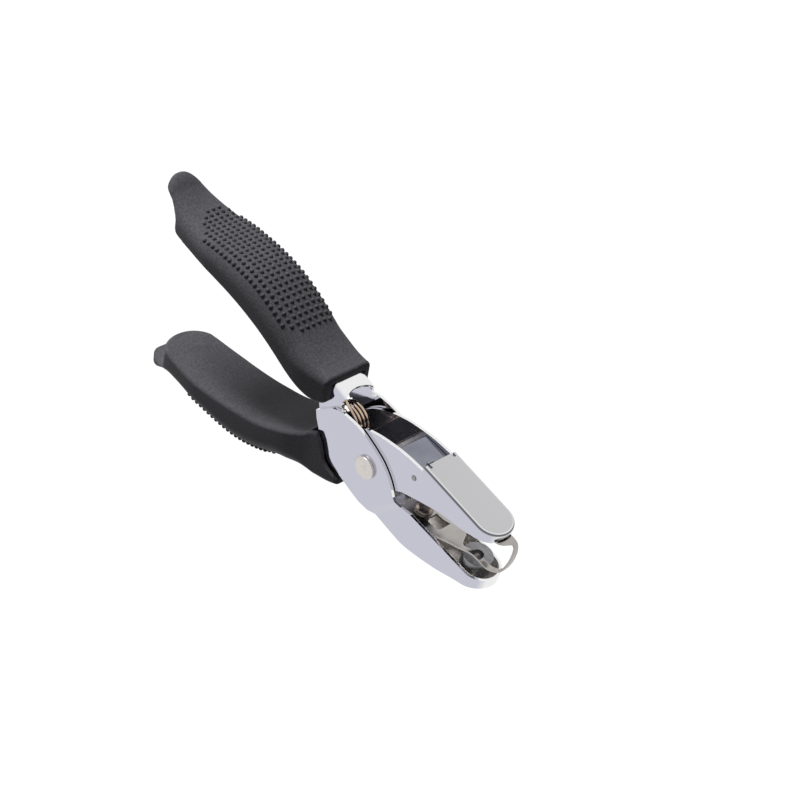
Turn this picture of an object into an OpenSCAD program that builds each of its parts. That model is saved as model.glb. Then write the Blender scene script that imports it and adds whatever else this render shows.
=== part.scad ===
// Single hole punch lying on its side: two pressed sheet levers that cross on one rivet,
// a pin in the upper jaw, a die in the lower jaw, two soft grips.
// Millimetres, Z up. X points to the nose, Y to the upper jaw and the upper grip.
// The origin is on the table, in the middle of the upper grip's flat side.

/* [Placing] */
// Distance from the origin to the pivot along X
pivot_x = 64; // [56:0.5:72]
// Distance from the origin to the pivot along Y
pivot_y = -20; // [-26:0.5:-14]

/* [Sheet] */
// Thickness of the pressed sheet
sheet = 1; // [0.8:0.1:1.2]
// Outer width of the jaws and of the channels in the grips
jaw_w = 13.5; // [12:0.1:16]
// Space between the inner lever's side and the ear beside it
ear_gap = 0.3; // [0.2:0.05:0.5]
// Radius of the bend along the cap
cap_bend = 1.3; // [1.1:0.1:2]
// Radius of the bend along the neck
neck_bend = 2.4; // [1.4:0.1:3]

/* [Pivot] */
// Diameter of the rivet's shank
shank_d = 5; // [4:0.1:6]
// Diameter of the rivet's heads
head_d = 8; // [7:0.1:10]
// Thickness of one rivet head
head_t = 1.15; // [0.8:0.05:1.8]
// Running clearance round the shank and the cross pin
run_gap = 0.05; // [0.02:0.01:0.08]

/* [Punch] */
// Place of the die's axis along X in the drawing
die_x = 43.5; // [42:0.1:45]
// Place of the die's top face along Y in the drawing
die_top = -2.6; // [-3.2:0.1:-2]
// Outer diameter of the die
die_d = 9.8; // [9:0.1:10.6]
// Diameter of the punched hole
hole_d = 3.2; // [2.6:0.1:4]
// Clearance between pin and die, on the radius
die_gap = 0.15; // [0.08:0.01:0.2]
// Angle through which the inner lever closes
close_deg = 15; // [12:0.5:15]
// How far the pin goes into the die
pin_bite = 1.8; // [1:0.1:2.4]

/* [Handles] */
// Slope of the line half-way between the handles
bisector = 5.5; // [4:0.1:7]
// Angle of each handle to that line
handle_rise = 15.5; // [13:0.1:16]
// Depth of the sheet channel in a grip
channel_d = 5.4; // [4.6:0.1:6]
// Length of that channel along the handle
channel_l = 58; // [50:0.5:60]
// Space between the channel and the grip
grip_gap = 0.1; // [0.05:0.01:0.2]
// Half of the grips' width where they are widest
grip_half_w = 11.7; // [11.4:0.1:13]

/* [Return spring] */
// Diameter of the spring's wire
wire_d = 0.9; // [0.8:0.05:1]
// Outer diameter of the coil
coil_d = 12; // [11:0.1:12.6]
// Distance between neighbouring turns
coil_pitch = 1.4; // [1.35:0.01:1.5]
// Number of full turns
coil_turns = 3; // [2:1:4]

/* [Strip] */
// Thickness of the stripper strip
strip_t = 0.7; // [0.5:0.05:0.9]
// Width of the strip's loop
loop_w = 1.9; // [1.6:0.1:3]
// Diameter of the head that holds the strip
post_head_d = 6; // [5:0.1:7]
// Diameter of the carrier's cross pin
cross_d = 1.8; // [1.4:0.1:2.2]

/* [Hidden] */
$fn = 48;
half_w = jaw_w / 2;
ear_in = half_w + ear_gap;
ear_out = ear_in + sheet;
// The pivot in the drawing that all outlines below are taken from
pivot = [-0.6, -1];
// The cap slopes down to the nose by this angle
cap_slope = 5;
cap_rear = [19.4, 17.2];
nose_c = [44.2, cap_rear[1] - (44.2 - cap_rear[0]) * tan(cap_slope)];
lower_nose_x = 45.4;
// Upright thickness of the sloping floor
floor_t = sheet * 1.05;
rim_front = -5.2;
// Where the ears step in to the lower jaw: top and foot of the step
step_top = [13.7, -3.4];
step_foot = [4.7, -15.9];
step_len = 2.4;
// Handles are drawn along and across the line half-way between them
web_u = 15.6;
web_w = 15.1;
function handle(u, w) = [-cos(bisector) * u - sin(bisector) * w,
                         -sin(bisector) * u + cos(bisector) * w];
function web_at(u) = web_w + (u - web_u) * tan(handle_rise);
channel_end = web_u + channel_l;
channel_drop = channel_d / cos(handle_rise);
// How far the side plates overlap the straight sides of the bent pieces
lap = 0.4;
// How far the channels in the grips stand outside the side plates
web_proud = 0.03;

// Smooth curve through a list of points, n steps between neighbours
function between(a, b, c, d, t) =
    b + t * ((c - a) + t * ((2 * a - 5 * b + 4 * c - d) + t * (3 * b - a - 3 * c + d))) / 2;
function smooth(p, n) = concat(
    [for (i = [0 : len(p) - 2]) for (k = [0 : n - 1])
        between(p[max(i - 1, 0)], p[i], p[i + 1], p[min(i + 2, len(p) - 1)], k / n)],
    [p[len(p) - 1]]);
function arc(c, r, a, b, n) =
    [for (i = [0 : n]) let (t = a + (b - a) * i / n) c + r * [cos(t), sin(t)]];

module placed() { translate([pivot_x - pivot[0], pivot_y - pivot[1], grip_half_w]) children(); }
module both_sides() { children(); mirror([0, 0, 1]) children(); }
module plate(points, low, thick) { translate([0, 0, low]) linear_extrude(thick) polygon(points); }
module across(points, half) { translate([0, 0, -half]) linear_extrude(2 * half) polygon(points); }
module rounded_bar(w, h, r) {
    translate([-w / 2, -h]) square([w, h - r]);
    translate([-w / 2 + r, -h]) square([w - 2 * r, h]);
    for (s = [-1, 1]) translate([s * (w / 2 - r), -r]) intersection() {
        circle(r);
        translate([-r, -0.1]) square([2 * r, r + 1]);
    }
}
module bent_channel(w, h, r) {
    difference() {
        rounded_bar(w, h, r);
        translate([0, -sheet]) rounded_bar(w - 2 * sheet, h, max(r - sheet, 0.1));
    }
}
// Drilled hole along Z through everything
module z_hole(p, d) { translate([p[0], p[1], -30]) cylinder(d = d, h = 60); }

// Inner lever: upper jaw, hub and lower handle
// A drawing point seen from the cap: along it from the start of the round nose, and up from its top
function to_cap(p) = let (q = p - nose_c) [cos(cap_slope) * q[0] - sin(cap_slope) * q[1],
                                           sin(cap_slope) * q[0] + cos(cap_slope) * q[1]];
cap_l = (nose_c[0] - cap_rear[0]) / cos(cap_slope);
cap_side = cap_bend + lap;
jaw_nose_d = 5.8;
jaw_under = smooth([[14.1, 0.9], [21.9, 4.0], [30.2, 6.8], [38.7, 8.4], [45.1, 10.1], [52, 10.7]], 5);
window_edge = smooth([cap_rear + [1.5, -cap_side - 0.2], [11.3, 15], [2.5, 13.4], [-3, 11.7], [-7, 10],
                      [-11.1, 7.7], [-14.7, 5.2], [-17.6, 2.2], [-19.6, -0.8], [-20.4, -4.6]], 4);
rear_side = concat(
    window_edge,
    [handle(21.2, -6), handle(21.4, -9.4), handle(22.6, -10.9), handle(29, channel_drop - web_at(29)),
     handle(channel_end, channel_drop - web_at(channel_end)),
     handle(channel_end, neck_bend + lap - web_at(channel_end)),
     handle(web_u, neck_bend + lap - web_at(web_u)), [-9, -12]],
    arc(pivot, 7.5, 235, 318, 8),
    [for (p = jaw_under) if (p[0] < nose_c[0] - 1.2) p]);
punch_side = concat([[0, -cap_side]], [for (p = rear_side) to_cap(p)], [[0, -jaw_nose_d]]);
// What is cut off under the round nose
nose_under = [for (p = jaw_under) if (p[0] > nose_c[0] - 2.6) p + [0, 0.12]];
nose_tip = nose_under[len(nose_under) - 1];
nose_cut = concat([nose_under[0] - [0.2, 3]], nose_under, [[60, nose_tip[1]], [60, 0]]);
cross_at = [17.1, 10.1];
// Length and width of the small relief slots at the rear corners of the cap
relief = [1.5, 0.9];
module upper_jaw() {
    translate(nose_c) rotate([0, 0, -cap_slope]) {
        both_sides() plate(punch_side, half_w - sheet, sheet);
        rotate([0, -90, 0]) linear_extrude(cap_l) bent_channel(jaw_w, cap_side + lap, cap_bend);
        rotate([-90, 0, 0]) rotate([0, 0, -90]) rotate_extrude(angle = 180) intersection() {
            bent_channel(jaw_w, 8, cap_bend);
            translate([0, -20]) square([20, 30]);
        }
    }
}
// Back of the upper handle's channel, with an arch at its front end
module handle_web(arch) {
    translate(handle(web_u, web_at(web_u))) rotate([0, 0, bisector - handle_rise]) difference() {
        rotate([0, -90, 0]) linear_extrude(channel_l / cos(handle_rise))
            bent_channel(jaw_w + 2 * web_proud, neck_bend + 2 * lap, neck_bend);
        if (arch) translate([6.6, 10, 0]) rotate([90, 0, 0]) cylinder(r = 8.6, h = 20);
    }
}
module other_handle() { rotate([0, 0, bisector]) mirror([0, 1, 0]) rotate([0, 0, -bisector]) children(); }
module punch_lever() {
    color("silver") placed() difference() {
        union() {
            upper_jaw();
            other_handle() handle_web(false);
        }
        across(nose_cut, 20);
        z_hole(pivot, shank_d + 2 * run_gap);
        z_hole(cross_at, cross_d + 2 * run_gap);
        translate([48, 8, strip_z - notch_w / 2]) cube([6, 4.6, notch_w]);
        both_sides() translate([cap_rear[0] - 1, cap_rear[1] - 2.2, half_w - cap_bend - relief[1] - 0.15])
            cube([relief[0] + 1, 4, relief[1]]);
    }
}

// Outer lever: lower jaw, ears and upper handle
ear_top = [[-25.8, 1.8], [-22.3, 5], [-19.4, 8], [-15.8, 9.6]];
ear_edge = smooth(concat(ear_top, [[-13, 10], [-9.4, 10.2], [-6, 9.9], [-2.7, 8.9], [1.2, 7.5], [5, 5.7],
                                   [8.9, 2.6], [11.2, -0.2], [12.3, -2], step_top]), 4);
ear_rear = [[-9.3, -13.7], [-14.4, -12.9], [-17.8, -11.8], [-20.1, -9.5], [-21.9, -6.5], [-22.9, -4],
            [-24.7, -1.1]];
rear_floor = [[-4, -15.2], [0.5, -16.1], step_foot];
fore_floor = smooth([step_foot, [13, -16.9], [20, -17.5], [26, -16.5], [31, -15.3], [36, -13.8], [41, -11.9],
                     [lower_nose_x, -10.4], [54, -8]], 3);
neck_step = 1.2 * [0.6, -0.8];
neck_side = concat(
    [handle(web_u + 0.5, web_at(web_u + 0.5) - neck_bend - lap), [-17.3, 10.6], [-16.6, 9]],
    [for (i = [2 : -1 : 0]) ear_top[i] + neck_step * 0.7],
    [handle(28, web_at(28) - channel_drop), handle(channel_end, web_at(channel_end) - channel_drop),
     handle(channel_end, web_at(channel_end) - neck_bend - lap)]);
step_dir = (step_foot - step_top) / norm(step_foot - step_top);
step_out = step_len * [-step_dir[1], step_dir[0]];
fore_rim = [step_top + step_out, [20, -4.1], [lower_nose_x, rim_front], [54, rim_front]];
function floor_at(x) = lookup(x, fore_floor);
jaw_foot = [step_foot[0] + 1.13 * step_len, floor_at(step_foot[0] + 1.13 * step_len)];
ear_side = concat(ear_edge, [for (i = [2 : -1 : 0]) rear_floor[i]], ear_rear);
jaw_side = concat(
    fore_rim,
    [for (i = [len(fore_floor) - 1 : -1 : 0]) if (fore_floor[i][0] > jaw_foot[0] + 0.5) fore_floor[i]],
    [jaw_foot]);
module jaw_plan(half) {
    translate([-100, -half]) square([100 + lower_nose_x, 2 * half]);
    translate([lower_nose_x, 0]) circle(half);
}
module upright(low) { translate([0, low, 0]) rotate([-90, 0, 0]) children(); }
// The slanting plate between ear and jaw wall, whose two tongues lie inside those
module jaw_step() {
    inset = 0.05;
    tongue = 1;
    bend = 0.15;
    low = step_foot[1] + 3 * inset;
    in_front = half_w - sheet + inset;
    out_front = half_w - inset;
    in_rear = ear_in + inset;
    out_rear = ear_out - inset;
    intersection() {
        translate(step_top + step_dir * 3 * inset)
            rotate([0, 0, atan2(step_dir[1], step_dir[0]) + 90]) rotate([90, 0, 0]) linear_extrude(20)
                polygon([[-tongue, in_rear], [-tongue, out_rear], [-bend, out_rear],
                         [step_len + bend, out_front], [step_len + tongue, out_front],
                         [step_len + tongue, in_front], [step_len + bend, in_front], [-bend, in_rear]]);
        across([[0, low], [20, low], [20, 0], [0, 0]], 20);
    }
}
module jaw_walls() {
    intersection() {
        across(jaw_side, 20);
        upright(-40) linear_extrude(80) difference() {
            jaw_plan(half_w);
            jaw_plan(half_w - sheet);
        }
    }
}
module floor_band(line, half) {
    across(concat(line, [for (i = [len(line) - 1 : -1 : 0]) line[i] + [0, floor_t]]), half);
}
module jaw_floor() {
    floor_band(rear_floor, ear_out);
    intersection() {
        floor_band(fore_floor, ear_out);
        upright(-40) linear_extrude(80) union() {
            jaw_plan(half_w);
            polygon([[step_foot[0] - 1, -ear_out], [step_foot[0] - 1, ear_out], [step_foot[0], ear_out],
                     [step_foot[0] + step_len, half_w], [step_foot[0] + step_len, -half_w],
                     [step_foot[0], -ear_out]]);
        }
    }
}
module die_lever() {
    color("lightsteelblue") placed() difference() {
        union() {
            both_sides() {
                plate(ear_side, ear_in, sheet);
                jaw_step();
                plate(concat(ear_top, [for (i = [3 : -1 : 0]) ear_top[i] + neck_step]),
                      half_w - sheet, ear_out - half_w + sheet);
                plate(neck_side, half_w - sheet, sheet);
            }
            jaw_walls();
            jaw_floor();
            handle_web(true);
        }
        z_hole(pivot, shank_d + 2 * run_gap);
        upright(-20) translate([die_x, 0, 0]) cylinder(d = spigot_d + 2 * run_gap, h = 15);
        upright(-25) translate([post_x, 0, 0]) cylinder(d = post_foot_d + 2 * run_gap, h = 12);
    }
}

// Grips: sections along the handle give inner edge, outer edge and half width
grip_tail = [[107.5, 28.5, 39, 6.6], [109.8, 30.5, 39.9, 5], [111.6, 32.5, 40, 3]];
upper_shape = concat(
    [[21.4, 10.2, 19.4, 9.3], [24, 8.6, 19.4, 9.6], [29, 8, 20.2, 10.4], [36, 10.4, 22.7, 11.3],
     [48, 16.6, 28.8, grip_half_w], [58, 20.2, 32.7, grip_half_w], [68, 22.6, 34.1, grip_half_w],
     [80, 24.4, 33.9, grip_half_w], [89, 25.2, 33.4, 10.9], [96, 25.6, 34.2, 10], [101, 26.2, 35.6, 9.1],
     [104.6, 27, 37.2, 8]],
    grip_tail);
// The lower grip reaches further forward, under the ears, and is thicker towards the other handle
lower_shape = concat(
    [[9.4, 0, 16.2, 9.2], [15, 0, 18.4, 9.6], [24, 3.2, 20.6, 9.8], [29, 7.2, 21.8, 10.4],
     [36, 10.9, 24.8, 11.3], [48, 16.2, 30.2, grip_half_w], [58, 18.9, 33.3, grip_half_w],
     [68, 20.9, 34.3, grip_half_w], [80, 22.4, 33.9, grip_half_w], [89, 22.6, 33.2, 11],
     [96, 22.4, 33.8, 10.2], [101, 22.3, 35.4, 9.2], [104.6, 22.8, 37.2, 8]],
    grip_tail);
// Blunt round end of a grip's inner side: where it starts to draw in, its length and half width
blunt_u = 94.5;
blunt_l = 9.7;
blunt_half = 10.6;
// Below this line the lip goes on past the blunt end
lip_w = 33.2;
grip_round_in = 1.4;
grip_round_out = 7.4;
// The outer edges' round is this small up to here, and grows from there to the full one
front_round = 2.4;
front_end = 22;
function ring(s) =
    let (h = s[2] - s[1],
         a = min(grip_round_in, h * 0.4, s[3] * 0.8),
         b = min(grip_round_out, h * 0.6, s[3] * 0.8, front_round + 0.3 * max(s[0] - front_end, 0)))
    concat(
        [for (i = [0 : 4]) [s[0], s[1] + a - a * sin(90 * i / 4), s[3] - a + a * cos(90 * i / 4)]],
        [for (i = [0 : 4]) [s[0], s[1] + a - a * cos(90 * i / 4), -s[3] + a - a * sin(90 * i / 4)]],
        [for (i = [0 : 6]) [s[0], s[2] - b + b * sin(90 * i / 6), -s[3] + b - b * cos(90 * i / 6)]],
        [for (i = [0 : 6]) [s[0], s[2] - b + b * cos(90 * i / 6), s[3] - b + b * sin(90 * i / 6)]]);
module grip_body(sections) {
    rings = [for (s = sections)
        [for (p = ring([s[0], s[1], s[2], min(s[3], grip_half_w)]))
            let (q = handle(p[0], p[1])) [q[0], q[1], p[2]]]];
    m = len(rings[0]);
    last = len(rings) - 1;
    polyhedron(
        points = [for (r = rings) each r],
        faces = concat(
            [[for (j = [m - 1 : -1 : 0]) j]],
            [for (i = [0 : last - 1]) for (j = [0 : m - 1]) let (k = (j + 1) % m)
                each [[i * m + j, i * m + k, (i + 1) * m + j],
                      [i * m + k, (i + 1) * m + k, (i + 1) * m + j]]],
            [[for (j = [0 : m - 1]) last * m + j]]),
        convexity = 6);
}
// What is cut off round the blunt end
module blunt_end() {
    edge = [for (t = [-90 : 7.5 : 90]) [-blunt_u - blunt_l * cos(t), blunt_half * sin(t)]];
    outside = [[-blunt_u, 16], [-blunt_u - 20, 16], [-blunt_u - 20, -16], [-blunt_u, -16]];
    rotate([0, 0, bisector]) translate([0, 12, 0]) rotate([-90, 0, 0]) linear_extrude(lip_w - 12)
        polygon(concat(outside, edge));
}
// Room for the sheet channel; its open front goes on from the outline's last points
module channel_pocket(front) {
    b = channel_end + 1.2;
    across(concat([handle(5, 0), handle(5, web_at(5) + grip_gap), handle(b, web_at(b) + grip_gap),
                   handle(b, web_at(b) - channel_drop - grip_gap)], front), half_w + grip_gap);
}
function pocket_edge(u) = handle(u, web_at(u) - channel_drop - grip_gap);
module upper_grip() {
    neck_end = 28.4;
    color("dimgray") placed() difference() {
        grip_body(smooth(upper_shape, 3));
        blunt_end();
        channel_pocket([pocket_edge(neck_end), handle(neck_end, 0)]);
    }
}
// Its mouth takes in the ears
module lower_grip() {
    mouth_u = 26.2;
    color("darkslategray") placed() other_handle() difference() {
        grip_body(smooth(lower_shape, 3));
        blunt_end();
        channel_pocket([pocket_edge(29), handle(mouth_u - 0.4, 9), handle(mouth_u - 0.4, 0)]);
        across([handle(5, -2), handle(5, 15.2), handle(14, 15.2), handle(mouth_u, 17.8), handle(mouth_u, -2)],
               ear_out + 0.35);
        across([handle(0, -3), handle(26.4, -3), handle(24.2, 0), handle(22.4, 3), handle(20.6, 5.2),
                handle(19, 8.4), handle(18, 10.8), handle(16.4, 12.3), handle(14.2, 13.3), handle(11.5, 13.7),
                handle(0, 13.7)], 30);
    }
}

// Pivot
module pivot_rivet() {
    color("gainsboro") placed() translate(pivot) {
        cylinder(d = shank_d, h = 2 * ear_out, center = true);
        both_sides() translate([0, 0, ear_out]) {
            cylinder(d = head_d, h = head_t - 0.25);
            translate([0, 0, head_t - 0.25]) cylinder(d1 = head_d, d2 = head_d - 0.5, h = 0.25);
        }
    }
}
// Return spring: a coil whose two legs press the two handles apart
coil_c = [-15.6, 4];
coil_r = (coil_d - wire_d) / 2;
coil_start = 62;
coil_stop = -30 - 360 * coil_turns;
coil_top = 4.9;
coil_steps = 24 * coil_turns + 7;
function coil_point(i) = let (a = coil_start + (coil_stop - coil_start) * i / coil_steps)
    [coil_c[0] + coil_r * cos(a), coil_c[1] + coil_r * sin(a),
     coil_top - coil_pitch * (coil_start - a) / 360];
leg_up = [-sin(coil_start), cos(coil_start), 0];
leg_down = [sin(coil_stop), -cos(coil_stop), 0];
leg_up_l = 7.5;
leg_down_l = 21.8;
wire_path = concat(
    [for (d = [leg_up_l, leg_up_l - wire_d, 2]) coil_point(0) + leg_up * d],
    [for (i = [0 : coil_steps]) coil_point(i)],
    [for (d = [2, leg_down_l - wire_d, leg_down_l]) coil_point(coil_steps) + leg_down * d]);
function unit(v) = v / norm(v);
function tangent(p, i) = unit(p[min(i + 1, len(p) - 1)] - p[max(i - 1, 0)]);
module wire(path, d) {
    n = 6;
    last = len(path) - 1;
    rings = [for (i = [0 : last]) let (t = tangent(path, i), e = unit(cross(t, [0, 0, 1])), f = cross(e, t))
        [for (j = [0 : n - 1]) path[i] + d / 2 * (cos(60 * j) * e + sin(60 * j) * f)]];
    polyhedron(
        points = [for (r = rings) each r],
        faces = concat(
            [[for (j = [n - 1 : -1 : 0]) j]],
            [for (i = [0 : last - 1]) for (j = [0 : n - 1]) let (k = (j + 1) % n)
                each [[i * n + j, i * n + k, (i + 1) * n + j],
                      [i * n + k, (i + 1) * n + k, (i + 1) * n + j]]],
            [[for (j = [0 : n - 1]) last * n + j]]),
        convexity = 8);
}
// Least gap between wire turns, from points more than half a turn apart
turn_gap = min([for (i = [0 : 2 : coil_steps - 13]) for (j = [i + 13 : coil_steps])
    norm(coil_point(i) - coil_point(j))]) - wire_d;
echo(least_spring_gap_mm = turn_gap);
module return_spring() { color("peru") placed() wire(wire_path, wire_d); }

// Punch: drawn at the closed pose and turned back to the open one
carrier_rear = [8.4, 13.7];
carrier_fore = [46.5, nose_c[1] - (46.5 - nose_c[0]) * tan(cap_slope) - sheet / cos(cap_slope) - 0.05];
carrier_dir = unit(carrier_fore - carrier_rear);
carrier_turn = atan2(carrier_dir[1], carrier_dir[0]);
carrier_l = norm(carrier_fore - carrier_rear);
carrier_t = 1;
carrier_half = half_w - sheet - 0.2;
module punch_carrier() {
    color("slategray") placed() difference() {
        translate(carrier_rear) rotate([0, 0, carrier_turn]) {
            difference() {
                union() {
                    translate([0, -carrier_t, -carrier_half])
                        cube([carrier_l - carrier_half, carrier_t, 2 * carrier_half]);
                    translate([carrier_l - carrier_half, 0, 0]) rotate([90, 0, 0])
                        cylinder(r = carrier_half, h = carrier_t);
                    translate([0, -1.2, -carrier_half]) cylinder(r = 1.2, h = 2 * carrier_half);
                    translate([8.6, -0.5, 0.4]) cube([0.8, 1.7, 2.4]);
                    translate([7, -5.4, -carrier_half]) cube([3.4, 4.8, carrier_half * 2]);
                }
                translate([6, -6, -carrier_half + sheet]) cube([6, 5, 2 * carrier_half - 2 * sheet]);
            }
        }
        z_hole(cross_at, cross_d + 2 * run_gap);
    }
}
module carrier_pin() {
    color("darkgray") placed() translate([cross_at[0], cross_at[1], 0])
        cylinder(d = cross_d, h = jaw_w + 0.5, center = true);
}
module punch_pin() {
    color("lightgray") placed() difference() {
        translate(pivot) rotate([0, 0, close_deg])
            translate([die_x - pivot[0], die_top - pin_bite - pivot[1], 0])
                rotate([-90, 0, 0]) cylinder(d = hole_d, h = 12);
        translate(carrier_rear) rotate([0, 0, carrier_turn])
            translate([-5, -carrier_t, -20]) cube([80, 40, 40]);
    }
}

// Die and strip
spigot_d = hole_d + 2 * die_gap + 1.4;
die_foot = floor_at(die_x + die_d / 2) + floor_t + 0.02;
module die_button() {
    color("dimgray") placed() translate([die_x, 0, 0]) rotate([-90, 0, 0]) difference() {
        union() {
            translate([0, 0, die_foot]) cylinder(d = die_d, h = die_top - die_foot);
            translate([0, 0, die_foot - 3]) cylinder(d = spigot_d, h = 4);
        }
        translate([0, 0, -20]) cylinder(d = hole_d + 2 * die_gap, h = 40);
    }
}
strip_z = 0.5;
pad_half = 3;
notch_w = 2 * pad_half + 0.7;
loop_z = -1.7;
strip_half = half_w - sheet - 0.25;
post_x = 19.5;
post_foot_d = 3;
strip_low = -5.8;
// Stations along the strip: x, y, middle and half width across
strip_line = smooth([[14.6, strip_low, 0, strip_half], [20, strip_low, 0, strip_half],
    [25.6, strip_low, 0, strip_half], [31, -4.1, 0, strip_half], [35.4, -2.3, 1.4, 3.9],
    [39.5, -0.6, 4.2, 1.1], [44, 1.4, 4.3, 1], [47.4, 1.5, 4.1, 1], [50, -0.3, 2.7, 1.1],
    [52.2, -0.6, 1.2, loop_w / 2], [53.8, 1, 0.2, loop_w / 2], [54.5, 4.4, -0.8, loop_w / 2],
    [54.2, 8.2, loop_z, loop_w / 2], [53.3, 10.7, loop_z, loop_w / 2], [52, 11.5, -0.1, pad_half - 0.6],
    [50.4, 11.5, strip_z, pad_half], [48.4, 11.1, strip_z, pad_half]], 4);
module strip_body() {
    last = len(strip_line) - 1;
    rings = [for (i = [0 : last]) let (s = strip_line[i], t = tangent([for (q = strip_line) [q[0], q[1]]], i),
                                      n = strip_t / 2 * [-t[1], t[0]])
        [[s[0] + n[0], s[1] + n[1], s[2] + s[3]], [s[0] - n[0], s[1] - n[1], s[2] + s[3]],
         [s[0] - n[0], s[1] - n[1], s[2] - s[3]], [s[0] + n[0], s[1] + n[1], s[2] - s[3]]]];
    polyhedron(
        points = [for (r = rings) each r],
        faces = concat(
            [[0, 1, 2, 3]],
            [for (i = [0 : last - 1]) for (j = [0 : 3]) let (k = (j + 1) % 4)
                each [[i * 4 + j, (i + 1) * 4 + j, i * 4 + k],
                      [i * 4 + k, (i + 1) * 4 + j, (i + 1) * 4 + k]]],
            [[for (j = [3 : -1 : 0]) last * 4 + j]]),
        convexity = 8);
}
module stripper_strip() {
    color("tan") placed() difference() {
        strip_body();
        translate([23, -9, -2.3]) cube([6, 8, 4.6]);
        translate([post_x, -12, 0]) rotate([-90, 0, 0]) cylinder(d = post_foot_d + 2 * run_gap, h = 10);
    }
}
module strip_post() {
    foot = floor_at(post_x);
    seat = foot + floor_t + 0.1;
    under = strip_low - strip_t / 2;
    color("rosybrown") placed() translate([post_x, 0, 0]) rotate([-90, 0, 0]) {
        translate([0, 0, under + strip_t]) {
            cylinder(d = post_head_d, h = 0.8);
            translate([0, 0, 0.8]) cylinder(d1 = post_head_d, d2 = post_head_d - 2, h = 0.5);
        }
        translate([0, 0, foot]) cylinder(d = post_foot_d, h = under + strip_t - foot);
        translate([0, 0, seat]) cylinder(d = 5, h = under - seat);
    }
}

die_lever();
punch_lever();
upper_grip();
lower_grip();
pivot_rivet();
return_spring();
punch_carrier();
carrier_pin();
punch_pin();
die_button();
stripper_strip();
strip_post();
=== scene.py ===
"""Single hole punch: soft grips with bumps, return spring and strip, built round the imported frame."""
import math

import bmesh
import bpy
import numpy as np
from mathutils import Matrix, Vector


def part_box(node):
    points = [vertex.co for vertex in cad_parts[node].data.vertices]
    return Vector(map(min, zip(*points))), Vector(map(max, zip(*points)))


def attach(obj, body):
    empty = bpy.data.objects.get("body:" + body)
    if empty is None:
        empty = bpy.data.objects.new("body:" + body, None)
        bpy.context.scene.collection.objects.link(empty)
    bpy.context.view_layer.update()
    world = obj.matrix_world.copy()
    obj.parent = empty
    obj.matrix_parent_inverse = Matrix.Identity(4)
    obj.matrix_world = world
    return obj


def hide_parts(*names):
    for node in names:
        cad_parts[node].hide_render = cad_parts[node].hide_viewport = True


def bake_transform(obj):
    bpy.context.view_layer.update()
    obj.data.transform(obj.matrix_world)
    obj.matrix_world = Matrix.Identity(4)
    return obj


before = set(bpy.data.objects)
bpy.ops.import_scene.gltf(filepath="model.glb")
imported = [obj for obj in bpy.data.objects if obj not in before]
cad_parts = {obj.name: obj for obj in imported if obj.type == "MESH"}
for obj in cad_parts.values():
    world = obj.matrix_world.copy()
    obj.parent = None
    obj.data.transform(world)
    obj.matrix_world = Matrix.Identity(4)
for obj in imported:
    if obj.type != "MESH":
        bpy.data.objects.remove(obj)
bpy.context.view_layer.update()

# Units and the drawing's place in the frame. Drawn sizes are in millimetres.
MM = 0.001
QUARTER_TURN = math.pi / 2
FULL_TURN = 2 * math.pi
DRAWN_PIVOT = np.array([-0.6, -1.0, 0.0])
rivet_low, rivet_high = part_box("pivot_rivet")
PIVOT = np.array((rivet_low + rivet_high) / 2) / MM

# Sizes that the pieces share with the solids
HALF_W = 6.75
SHEET = 1.0
EAR_OUT = 8.05
BISECTOR = math.radians(5.5)
HANDLE_RISE = math.radians(15.5)
WEB_U = 15.6
WEB_W = 15.1
CHANNEL_DEPTH = 5.4
CHANNEL_L = 58.0
CHANNEL_DROP = CHANNEL_DEPTH / math.cos(HANDLE_RISE)
CHANNEL_END = WEB_U + CHANNEL_L
CAP_SLOPE = math.radians(5.0)
CAP_REAR = np.array([19.4, 17.2])

# Curves and meshes
SHARP_DEG = 35.0
DOUBLES_REACH = 1e-7


def to_row(points):
    """Drawn millimetres to metres in the frame: the drawn pivot goes to the rivet's middle."""
    return (np.asarray(points, float) - DRAWN_PIVOT + PIVOT) * MM


def handle(u, w, side=1):
    """Drawn X and Y of a point u along and w across the handles' middle line; side -1 is the lower handle."""
    w = side * np.asarray(w, float)
    u = np.asarray(u, float)
    return np.stack([-math.cos(BISECTOR) * u - math.sin(BISECTOR) * w,
                     -math.sin(BISECTOR) * u + math.cos(BISECTOR) * w], axis=-1)


def web_at(u):
    """Height of the channel's back above the middle line: a straight slope."""
    return WEB_W + (u - WEB_U) * math.tan(HANDLE_RISE)


def smooth(points, steps):
    """Catmull-Rom curve: a cubic through each two points, with half their neighbours' chord as slope."""
    points = np.asarray(points, float)
    before = np.vstack([points[:1], points[:-2]])
    start = points[:-1]
    stop = points[1:]
    after = np.vstack([points[2:], points[-1:]])
    t = np.arange(steps)[:, None, None] / steps
    bend = 2 * before - 5 * start + 4 * stop - after
    twist = 3 * start - before - 3 * stop + after
    spans = start + t * ((stop - before) + t * (bend + t * twist)) / 2
    return np.vstack([spans.transpose(1, 0, 2).reshape(-1, points.shape[1]), points[-1:]])


def unit_rows(vectors):
    """Each row divided by its length."""
    return vectors / np.linalg.norm(vectors, axis=1)[:, None]


def grid_faces(rows, columns):
    """Quads between neighbouring rows of a closed ring of columns."""
    i, j = np.meshgrid(np.arange(rows - 1), np.arange(columns), indexing="ij")
    k = (j + 1) % columns
    here = i * columns
    there = here + columns
    quads = np.stack([here + j, here + k, there + k, there + j], axis=-1)
    return quads.reshape(-1, 4).tolist()


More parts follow.
